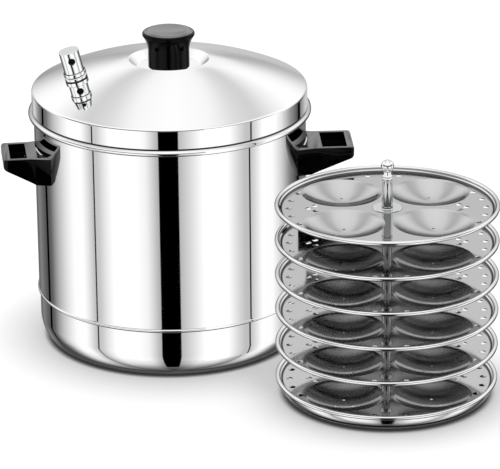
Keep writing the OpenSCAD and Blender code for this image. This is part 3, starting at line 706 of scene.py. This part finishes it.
def pierced(low, high, height, hole_r, depth):
    """A turned stretch from (radius, height) low to high, with a round hole in its front.

    The stretch is unrolled, filled between its edges and the hole, and rolled up again. Gives
    points, faces and corner normals of the skin, and the same of the hole, depth mm deep."""
    (r_low, h_low), (r_high, h_high) = low, high
    mean = (r_low + r_high) / 2
    wide = math.pi * mean
    across = np.linspace(-wide, wide, WHISTLE_SIDES + 1)
    rows = np.linspace(h_low, h_high, max(3, int((h_high - h_low) / ROW_STEP)))
    near = np.arange(OUTLET_SIDES)
    far = (near + 1) % OUTLET_SIDES
    around = near * math.tau / OUTLET_SIDES
    ring = np.stack([hole_r * np.cos(around), height + hole_r * np.sin(around)], axis=1)
    grid = np.array([(u, v) for v in rows for u in across])
    edge = (np.abs(np.abs(grid[:, 0]) - wide) < 1e-6) | (grid[:, 1] == rows[0]) | (grid[:, 1] == rows[-1])
    clear = np.hypot(grid[:, 0], grid[:, 1] - height) > hole_r + HOLE_MARGIN
    flat = np.concatenate([ring, grid[edge | clear]])
    loop = np.stack([near, far], axis=1).tolist()
    verts, _, cells, _, _, _ = delaunay_2d_cdt([Vector(p) for p in flat], loop, [], 0, 1e-6)
    verts = np.array(verts)
    cells = [list(c) for c in cells
             if np.hypot(*(verts[list(c)].mean(axis=0) - np.array([0, height]))) > hole_r - 0.05]
    turned = verts[:, 0] / mean + OUTLET_TURN
    radius = r_low + (r_high - r_low) * (verts[:, 1] - h_low) / (h_high - h_low)
    skin = np.stack([radius * np.cos(turned), radius * np.sin(turned), verts[:, 1]], axis=1) * 0.001
    slope = np.array([h_high - h_low, r_low - r_high]) / math.hypot(h_high - h_low, r_low - r_high)
    facing = np.stack([slope[0] * np.cos(turned), slope[0] * np.sin(turned),
                       np.full(len(verts), slope[1])], axis=1)
    normals = facing[[i for c in cells for i in c]]
    out = np.array([math.cos(OUTLET_TURN), math.sin(OUTLET_TURN), 0.0])
    mouth = np.array([np.argmin(np.hypot(*(verts - p).T)) for p in ring])
    floor_points = skin[mouth] - out * (skin[mouth] @ out - (mean - depth) * 0.001)[:, None]
    walls = np.concatenate([skin[mouth], floor_points])
    inner = near + OUTLET_SIDES
    wall_faces = np.stack([near, inner, far + OUTLET_SIDES, far], axis=1).tolist() + [inner.tolist()]
    return (skin, cells, normals), (walls, wall_faces, face_normals(walls, wall_faces))


def face_normals(points, faces):
    """One corner normal for each corner of flat faces."""
    normals = []
    for face in faces:
        a, b, c = (points[i] for i in face[:3])
        normal = np.cross(b - a, c - a)
        normals += [normal / np.linalg.norm(normal)] * len(face)
    return np.array(normals)


def joined(shapes):
    """Several (points, faces, normals) as one."""
    points, faces, normals, start = [], [], [], 0
    for some_points, some_faces, some_normals in shapes:
        points.append(some_points)
        faces += [[i + start for i in face] for face in some_faces]
        normals.append(some_normals)
        start += len(some_points)
    return np.concatenate(points), faces, np.concatenate(normals)


def turned_bar(*parts):
    """A stretch turned from bar: an outline of these points and arcs, spun about the z axis."""
    return spin(outline(*parts), WHISTLE_SIDES)


def lay_turned(name, node, body, shapes, dark_shapes):
    """A turned piece on the whistle's axis; its holes and grooves are painted dark as shade."""
    made = put_mesh(name, *on_vent(*joined(shapes + dark_shapes)))
    lay(made, node, body, turned_polish)
    made.data.materials.append(painted_shade_steel)
    dark = sum(len(shape[1]) for shape in dark_shapes)
    for face in list(made.data.polygons)[-dark:]:
        face.material_index = 1


turned_polish = mirror_steel("turned_bright_steel", "fafbfc", 0.03, 9.0, 0.05, "909090")
# Painted shade for the whistle's holes, grooves and the gaps between its parts
painted_shade_steel = mirror_steel("steel_with_painted_shade", "1c1c1e", 0.5, 9.0, 0.1)
taper_skin, taper_hole = pierced((BARREL_R - 1.8, 0), (BARREL_R - 0.5, STEM_BASE), STEM_BASE * 0.64,
                                 OUTLET_R * 0.6, 1.5)
barrel_skin, barrel_hole = pierced((BARREL_R, RING_TOP), (BARREL_R, COLLAR_LOW),
                                   (RING_TOP + COLLAR_LOW) / 2, OUTLET_R, OUTLET_DEPTH)
stem_parts = [
    turned_bar((STEM_BORE_R, STEM_FOOT), (BARREL_R - 2.1, STEM_FOOT), (BARREL_R - 1.8, 0)),
    taper_skin,
    turned_bar((BARREL_R - 0.5, STEM_BASE + 0.5), (BARREL_R + 0.55, RING_LOW),
               arc((BARREL_R, RING_TOP - 1.2), 0.65, 0, 50, 4)),
    barrel_skin,
    turned_bar((COLLAR_R - 0.4, COLLAR_LOW + 0.54), arc((COLLAR_R - 0.6, COLLAR_LOW + 1.1), 0.6, -60, 0, 4),
               (COLLAR_R, STEM_TOP - 0.7))]
stem_dark = [
    taper_hole, barrel_hole,
    turned_bar((BARREL_R - 0.5, STEM_BASE), (BARREL_R - 0.5, STEM_BASE + 0.5)),
    turned_bar(arc((BARREL_R, RING_TOP - 1.2), 0.65, 50, 70, 3), (BARREL_R, RING_TOP)),
    turned_bar((BARREL_R, COLLAR_LOW), (COLLAR_R - 0.4, COLLAR_LOW + 0.54)),
    turned_bar((COLLAR_R, STEM_TOP - 0.7), (COLLAR_R - 0.6, STEM_TOP), (4.2, STEM_TOP), (3.0, STEM_TOP + 6),
               (STEM_BORE_R, STEM_TOP + 6), (STEM_BORE_R, STEM_FOOT))]
lay_turned("whistle_stem", "vent_stem", "lid", stem_parts, stem_dark)
cap_skin, cap_hole = pierced((CAP_R, CAP_NECK), (CAP_R, CAP_TOP - 0.6),
                             CAP_NECK + 0.59 * (CAP_TOP - CAP_NECK), OUTLET_R, OUTLET_DEPTH)
cap_parts = [
    turned_bar((COLLAR_R, CAP_BASE + 0.7), arc((COLLAR_R - 0.5, CAP_BASE + 2.2), 0.5, 0, 80, 3),
               (COLLAR_R - 0.9, CAP_BASE + 2.8)),
    turned_bar(arc((COLLAR_R - 0.6, CAP_BASE + 4.1), 0.5, -40, 0, 3),
               arc((COLLAR_R - 0.8, CAP_NECK - 0.9), 0.7, 0, 50, 4)),
    cap_skin, turned_bar(arc((CAP_R - 0.6, CAP_TOP - 0.6), 0.6, 0, 90, 5), (0, CAP_TOP))]
cap_dark = [
    cap_hole,
    turned_bar((0, CAP_BASE + 11.4), (2.9, CAP_BASE + 11.4), (2.9, CAP_BASE + 5.8), (4.6, CAP_BASE + 5.8),
               (4.6, CAP_BASE), (COLLAR_R - 0.6, CAP_BASE), (COLLAR_R, CAP_BASE + 0.7)),
    turned_bar((COLLAR_R - 0.9, CAP_BASE + 2.8), (COLLAR_R - 1.1, CAP_BASE + 3.4),
               arc((COLLAR_R - 0.6, CAP_BASE + 4.1), 0.5, -40, -39, 1)),
    turned_bar(arc((COLLAR_R - 0.8, CAP_NECK - 0.9), 0.7, 50, 70, 3), (CAP_R, CAP_NECK))]
lay_turned("whistle_cap_turned", "whistle_cap", "whistle", cap_parts, cap_dark)

# The rack stands on a ring spun from the same steel as its plates. It rests on a rounded corner,
# and its wall is welded under the edge of the lowest plate.
RACK = np.array([189.7, -149.3]) * 0.001
PLATE_R = 97.4
PLATE_BEAD = 2.1
PLATE_T = 1.0
PITCH = 31.8
FIRST_Z = 14.4
WEB_DROP = 3.0
TIERS = 6
RIM_C = PLATE_R - PLATE_BEAD
WEB_R = RIM_C - 3.6
FOOT_R = RIM_C - 1.2
FOOT_CORNER = 12.0
FOOT_LAND = 8.0
FOOT_TOP = FIRST_Z - 2.2
# Distance past the web's edge in mm, and level of the sheet, with painted shade in the corner at the web's
# edge
PLATE_LEVELS = ((-4.0, 0.84), (-1.4, 0.84), (-0.5, 0.36), (0.3, 0.36), (1.1, 0.95), (6.0, 0.95))


def on_rack(height, points, faces, normals=None):
    """Moves a shape from the z axis to the spindle, with its own zero at this height in mm."""
    moved = np.asarray(points) + np.array([RACK[0], RACK[1], height * 0.001])
    return (moved, faces) if normals is None else (moved, faces, normals)


def web_z(tier):
    """Height of a plate's web above the table, in mm."""
    return FIRST_Z + (tier - 1) * PITCH - WEB_DROP


def tier_body(tier):
    """The body of a tier's pieces: the lowest stay with the spindle, the others draw off it."""
    return "rack" if tier == 1 else f"tier_{tier}"


def plate_steel():
    """Polished plate sheet: greyer over the pressed web, bright on the wall and rolled edge.

    The corner between them is painted dark, as shade in the crease."""
    made = mirror_steel("polished_plate_steel", "c2c2c2", 0.05, 22.0, 0.05, "b8b8b8")
    tree = made.node_tree
    coord = add_node(tree, "ShaderNodeTexCoord", {}, {})
    offset = add_node(tree, "ShaderNodeVectorMath", {"operation": "SUBTRACT", 1: (RACK[0], RACK[1], 0)},
                      {0: coord.outputs["Object"]})
    level_offset = add_node(tree, "ShaderNodeVectorMath", {"operation": "MULTIPLY", 1: (1, 1, 0)},
                            {0: offset.outputs[0]})
    reach = add_node(tree, "ShaderNodeVectorMath", {"operation": "LENGTH"}, {0: level_offset.outputs[0]})
    # Painted shade: a dark ring in the corner between web and wall
    levels = tuple(((WEB_R + past) * 0.001, level) for past, level in PLATE_LEVELS)
    sheet = ramp(tree, levels, levels[0][0], levels[-1][0], reach.outputs["Value"])
    steel = next(node for node in tree.nodes if node.type == "BSDF_PRINCIPLED")
    tree.links.new(sheet, steel.inputs["Base Color"])
    return made


plate_polish = plate_steel()
foot_mid = FOOT_R - FOOT_CORNER
foot_outline = outline(
    (foot_mid - FOOT_LAND, 0), arc((foot_mid, FOOT_CORNER), FOOT_CORNER, -90, -4, 12), (FOOT_R, FOOT_TOP),
    (FOOT_R - PLATE_T, FOOT_TOP), arc((foot_mid, FOOT_CORNER), FOOT_CORNER - PLATE_T, -4, -90, 10),
    (foot_mid - FOOT_LAND, PLATE_T))
foot = put_mesh("rack_ring", *on_rack(0, *spin(foot_outline, closed=True)))
lay(foot, "rack_foot", "rack", plate_polish)

# A mould plate is one pressing: a flat web with steam holes, four shallow cups, a short wall and a
# rolled edge. The web is a sheet filled between its outlines; cups and rim are turned shapes.
CUP_R = 34.0
CUP_DEPTH = 9.3
CUP_AT = 38.2
CUP_LIP = 0.9
CUP_SPHERE = (CUP_R ** 2 + CUP_DEPTH ** 2) / (2 * CUP_DEPTH)
CUP_SIDES = 72
CUP_HOLE_R = 1.2
CUP_HOLE_AT = 9.0
CUP_HOLE_SIDES = 12
SKIN_SIDES = 96
# Share of a cup's radius, and points round it, of the rings between its centre and its mouth
SKIN_RINGS = ((0.06, 8), (0.14, 18), (0.22, 30), (0.32, 36), (0.44, 48), (0.58, 60), (0.72, 72), (0.86, 72))
WEB_EDGE = WEB_R - 1.0
WEB_SIDES = 160
HOLE_R = 2.8
HOLE_SIDES = 24
HOLE_RHO = 85.0
HOLE_FAN = 13.2
END_RHO = HOLE_RHO - 1.5
END_TURN = 9.5
LONE_AT = 68.0
PAIR_AT = (62.0, 6.5)
HUB_HOLE_R = 3.45
HUB_HOLE_SIDES = 32
CUP_PLACES = [(x * CUP_AT, y * CUP_AT) for x in (-1, 1) for y in (-1, 1)]


def hole_places():
    """Centres of the steam holes, in mm from the spindle: five and three a side, two front and back."""
    pair_r = math.hypot(*PAIR_AT)
    pair_turn = math.degrees(math.atan2(PAIR_AT[1], PAIR_AT[0]))
    polar = [(HOLE_RHO, HOLE_FAN * step) for step in range(-2, 3)]
    polar += [(END_RHO, 90 - END_TURN), (END_RHO, 90 + END_TURN)]
    polar += [(LONE_AT, 0), (pair_r, pair_turn), (pair_r, -pair_turn)]
    turns = [(radius, math.radians(angle + side)) for side in (0, 180) for radius, angle in polar]
    return [(radius * math.cos(turned), radius * math.sin(turned)) for radius, turned in turns]


def circle(centre, radius, count):
    """Points round a circle, anticlockwise, in mm."""
    angle = np.arange(count) * 2 * math.pi / count
    return np.stack([centre[0] + radius * np.cos(angle), centre[1] + radius * np.sin(angle)], axis=1)


def loop_edges(loops):
    """The edges that close each of these loops, whose points follow each other in one list."""
    edges, start = [], 0
    for loop in loops:
        index = np.arange(len(loop))
        edges += np.stack([start + index, start + (index + 1) % len(loop)], axis=1).tolist()
        start += len(loop)
    return edges


def web_sheet():
    """The flat web: top and bottom filled between the outer circle and all its openings, with walls."""
    loops = [circle((0, 0), WEB_EDGE, WEB_SIDES)]
    loops += [circle(place, CUP_R + CUP_LIP, CUP_SIDES) for place in CUP_PLACES]
    loops += [circle(place, HOLE_R, HOLE_SIDES) for place in hole_places()]
    loops.append(circle((0, 0), HUB_HOLE_R, HUB_HOLE_SIDES))
    flat = np.concatenate(loops)
    verts, _, faces, _, _, _ = delaunay_2d_cdt([Vector(p) for p in flat], loop_edges(loops), [], 0, 1e-6)
    verts = np.array(verts)
    keep = []
    for face in faces:
        middle = verts[list(face)].mean(axis=0)
        radius = np.hypot(*middle)
        in_cup = any(np.hypot(*(middle - place)) < CUP_R + CUP_LIP - 0.02 for place in CUP_PLACES)
        in_hole = any(np.hypot(*(middle - place)) < HOLE_R - 0.02 for place in hole_places())
        if HUB_HOLE_R - 0.02 < radius < WEB_EDGE and not in_cup and not in_hole:
            keep.append(face)
    count = len(verts)
    top = np.column_stack([verts, np.zeros(count)])
    bottom = np.column_stack([verts, np.full(count, -PLATE_T)])
    made = [list(face) for face in keep] + [[i + count for i in reversed(face)] for face in keep]
    walled = loops[1 + len(CUP_PLACES):]
    start = len(flat) - sum(len(loop) for loop in walled)
    for loop in walled:
        index = np.arange(len(loop))
        near, far = start + index, start + (index + 1) % len(loop)
        made += np.stack([near, far, far + count, near + count], axis=1).tolist()
        start += len(loop)
    return np.concatenate([top, bottom]) * 0.001, made


def cup_holes():
    """The outlines of the three small holes in a cup, in mm about the cup's own axis."""
    middles = [(CUP_HOLE_AT * math.cos(turned), CUP_HOLE_AT * math.sin(turned))
               for turned in np.radians((90, 210, 330))]
    return [circle(middle, CUP_HOLE_R, CUP_HOLE_SIDES) for middle in middles]


def cup_skin(sphere, reach, inside):
    """One side of a cup: a cap of a sphere out to this radius, with its three small holes left open."""
    holes = cup_holes()
    middles = [hole.mean(axis=0) for hole in holes]
    mouth = circle((0, 0), reach, SKIN_SIDES)
    rings = [circle((0, 0), reach * part, count) for part, count in SKIN_RINGS]
    clear = [[p for p in ring if all(np.hypot(*(p - middle)) > CUP_HOLE_R + 0.5 for middle in middles)]
             for ring in rings]
    flat = np.concatenate(holes + [mouth] + [np.array(ring) for ring in clear] + [np.zeros((1, 2))])
    edges = loop_edges(holes + [mouth])
    verts, _, cells, _, _, _ = delaunay_2d_cdt([Vector(p) for p in flat], edges, [], 0, 1e-6)
    verts = np.array(verts)
    centres = [verts[list(c)].mean(axis=0) for c in cells]
    cells = [list(c) for c, centre in zip(cells, centres)
             if all(np.hypot(*(centre - middle)) > CUP_HOLE_R - 0.02 for middle in middles)]
    mid = CUP_SPHERE - CUP_DEPTH
    depth = np.sqrt(sphere ** 2 - np.sum(verts ** 2, axis=1))
    points = np.column_stack([verts, mid - depth])
    outward = np.column_stack([verts, -depth]) / sphere
    if not inside:
        cells = [c[::-1] for c in cells]
    index = [i for c in cells for i in c]
    return points * 0.001, cells, (-outward if inside else outward)[index]


def cup_shape():
    """One cup about its own axis: two spherical skins, the walls of its holes, and a soft lip."""
    rim_angle = math.degrees(math.asin(CUP_R / CUP_SPHERE))
    lip = CUP_R + CUP_LIP
    mid = CUP_SPHERE - CUP_DEPTH
    inside = arc((0, mid), CUP_SPHERE, -90 + rim_angle - 2.4, -90 + rim_angle - 1.2, 2)
    outside = arc((0, mid), CUP_SPHERE + PLATE_T, -90 + rim_angle - 2.0, -90 + rim_angle - 0.8, 2)
    shapes = [cup_skin(CUP_SPHERE, inside[0, 0], True), cup_skin(CUP_SPHERE + PLATE_T, outside[0, 0], False),
              spin(outline(outside, (lip, -PLATE_T))), spin(outline((lip, 0), inside[::-1]))]
    near = np.arange(CUP_HOLE_SIDES)
    far = (near + 1) % CUP_HOLE_SIDES
    wall_faces = np.stack([near, far, far + CUP_HOLE_SIDES, near + CUP_HOLE_SIDES], axis=1).tolist()
    for mouth in cup_holes():
        spread = np.sum(mouth ** 2, axis=1)
        top = np.column_stack([mouth, mid - np.sqrt(CUP_SPHERE ** 2 - spread)])
        foot = np.column_stack([mouth, mid - np.sqrt((CUP_SPHERE + PLATE_T) ** 2 - spread)])
        walls = np.concatenate([top, foot]) * 0.001
        shapes.append((walls, wall_faces, face_normals(walls, wall_faces)))
    return shapes


def rim_shape():
    """The plate's edge: up from the web round a soft corner, into the rolled bead, and back below."""
    rise = WEB_DROP - PLATE_BEAD + 0.4
    section = outline(
        (WEB_EDGE, -PLATE_T), arc((WEB_EDGE, 2.4 - PLATE_T), 2.4, -90, -12, 6), (RIM_C, rise - 0.4),
        arc((RIM_C, WEB_DROP), PLATE_BEAD - 0.05, -90, 205, 30),
        arc((WEB_EDGE, 1.4), 1.4, -12, -90, 6), (WEB_EDGE, 0))
    return spin(section)


web_points, web_faces = web_sheet()
plate_shapes = [(web_points, web_faces, face_normals(web_points, web_faces)), rim_shape()]
for place in CUP_PLACES:
    for skin in cup_shape():
        plate_shapes.append((skin[0] + np.array([place[0], place[1], 0]) * 0.001, skin[1], skin[2]))
plate_shape = joined(plate_shapes)
flat_faces = sum(len(shape[1]) for shape in plate_shapes[:2])
mould_satin = mirror_steel("satin_pressed_moulds", "d2d2d2", 0.11, 22.0, 0.05, "b8b8b8")
for tier in range(1, TIERS + 1):
    plate = put_mesh(f"mould_plate_{tier}", *on_rack(web_z(tier), *plate_shape))
    lay(plate, f"plate_{tier}", tier_body(tier), plate_polish)
    plate.data.materials.append(mould_satin)
    for face in list(plate.data.polygons)[flat_faces:]:
        face.material_index = 1

# Hubs, tubes, spindle, sleeve and ball are turned from bright steel bar. A hub is peened into each
# plate, the tube on it carries the next plate, and the ball clamps the stack from above.
BORE_R = 2.58
HUB_R = 3.4
HUB_FLANGE_R = 13.0
HUB_FLANGE_T = 0.8
HUB_RING_R = 5.4
HUB_RING_H = 1.6
NECK_H = 9.5
TUBE_R = 4.2
SEAT = 0.25
TUBE_H = PITCH - PLATE_T - NECK_H - HUB_FLANGE_T - SEAT
SLEEVE_H = 24.4
COLLAR_H = 7.4
BALL_R = 5.7
HUB_SIDES = 64
TUBE_SIDES = 48
SLEEVE_Z = web_z(TIERS) + HUB_FLANGE_T + SEAT
KNOB_Z = SLEEVE_Z + SLEEVE_H + SEAT
ROD_TOP = KNOB_Z + COLLAR_H
BALL_Z = ROD_TOP + BALL_R - 0.8
for tier in range(1, TIERS + 1):
    neck = HUB_RING_H if tier == 1 else NECK_H
    hub_outline = outline(
        (BORE_R, HUB_FLANGE_T), (BORE_R, -PLATE_T - neck), (HUB_R, -PLATE_T - neck),
        (HUB_R, -PLATE_T - HUB_RING_H), (HUB_RING_R - 0.3, -PLATE_T - 0.8), (HUB_RING_R, -PLATE_T - 0.02),
        (HUB_R, -PLATE_T - 0.02), (HUB_R, 0.02), (HUB_FLANGE_R, 0.02),
        arc((HUB_FLANGE_R - 0.5, HUB_FLANGE_T - 0.5), 0.5, 0, 90, 4))
    hub = put_mesh(f"plate_hub_{tier}", *on_rack(web_z(tier), *spin(hub_outline, HUB_SIDES, closed=True)))
    lay(hub, f"hub_{tier}", tier_body(tier), turned_polish)
    if tier < TIERS:
        tube_outline = outline(
            (BORE_R, 0), (TUBE_R, 0), (TUBE_R, TUBE_H - 1.6), (TUBE_R + 0.5, TUBE_H - 1.5),
            (TUBE_R + 0.5, TUBE_H - 0.2), (TUBE_R + 0.3, TUBE_H), (BORE_R, TUBE_H))
        tube = put_mesh(f"spacer_tube_{tier}", *on_rack(web_z(tier) + HUB_FLANGE_T,
                                                       *spin(tube_outline, TUBE_SIDES, closed=True)))
        lay(tube, f"spacer_{tier}", tier_body(tier), turned_polish)
dress("rack_spindle", turned_polish)
sleeve_outline = outline(
    (BORE_R, 0), (4.9, 0), (4.85, 0.8), (4.6, 1.4), (4.15, SLEEVE_H - 0.4), (3.9, SLEEVE_H),
    (BORE_R, SLEEVE_H))
sleeve = put_mesh("clamp_sleeve", *on_rack(SLEEVE_Z, *spin(sleeve_outline, HUB_SIDES, closed=True)))
lay(sleeve, "top_sleeve", "sleeve", turned_polish)
ball_outline = outline(
    (0, ROD_TOP + 0.3), (BORE_R, ROD_TOP + 0.3), (BORE_R, KNOB_Z), (4.3, KNOB_Z), (4.7, KNOB_Z + 0.5),
    (4.7, KNOB_Z + 1.6), (4.2, KNOB_Z + 2.2), (4.5, KNOB_Z + 2.8), (4.5, KNOB_Z + 3.8), (3.7, KNOB_Z + 4.6),
    (3.4, KNOB_Z + COLLAR_H - 0.4), arc((0, BALL_Z), BALL_R, -53, 90, 28))
ball = put_mesh("ball_grip", *on_rack(0, *spin(ball_outline, HUB_SIDES)))
lay(ball, "ball_knob", "ball", turned_polish)
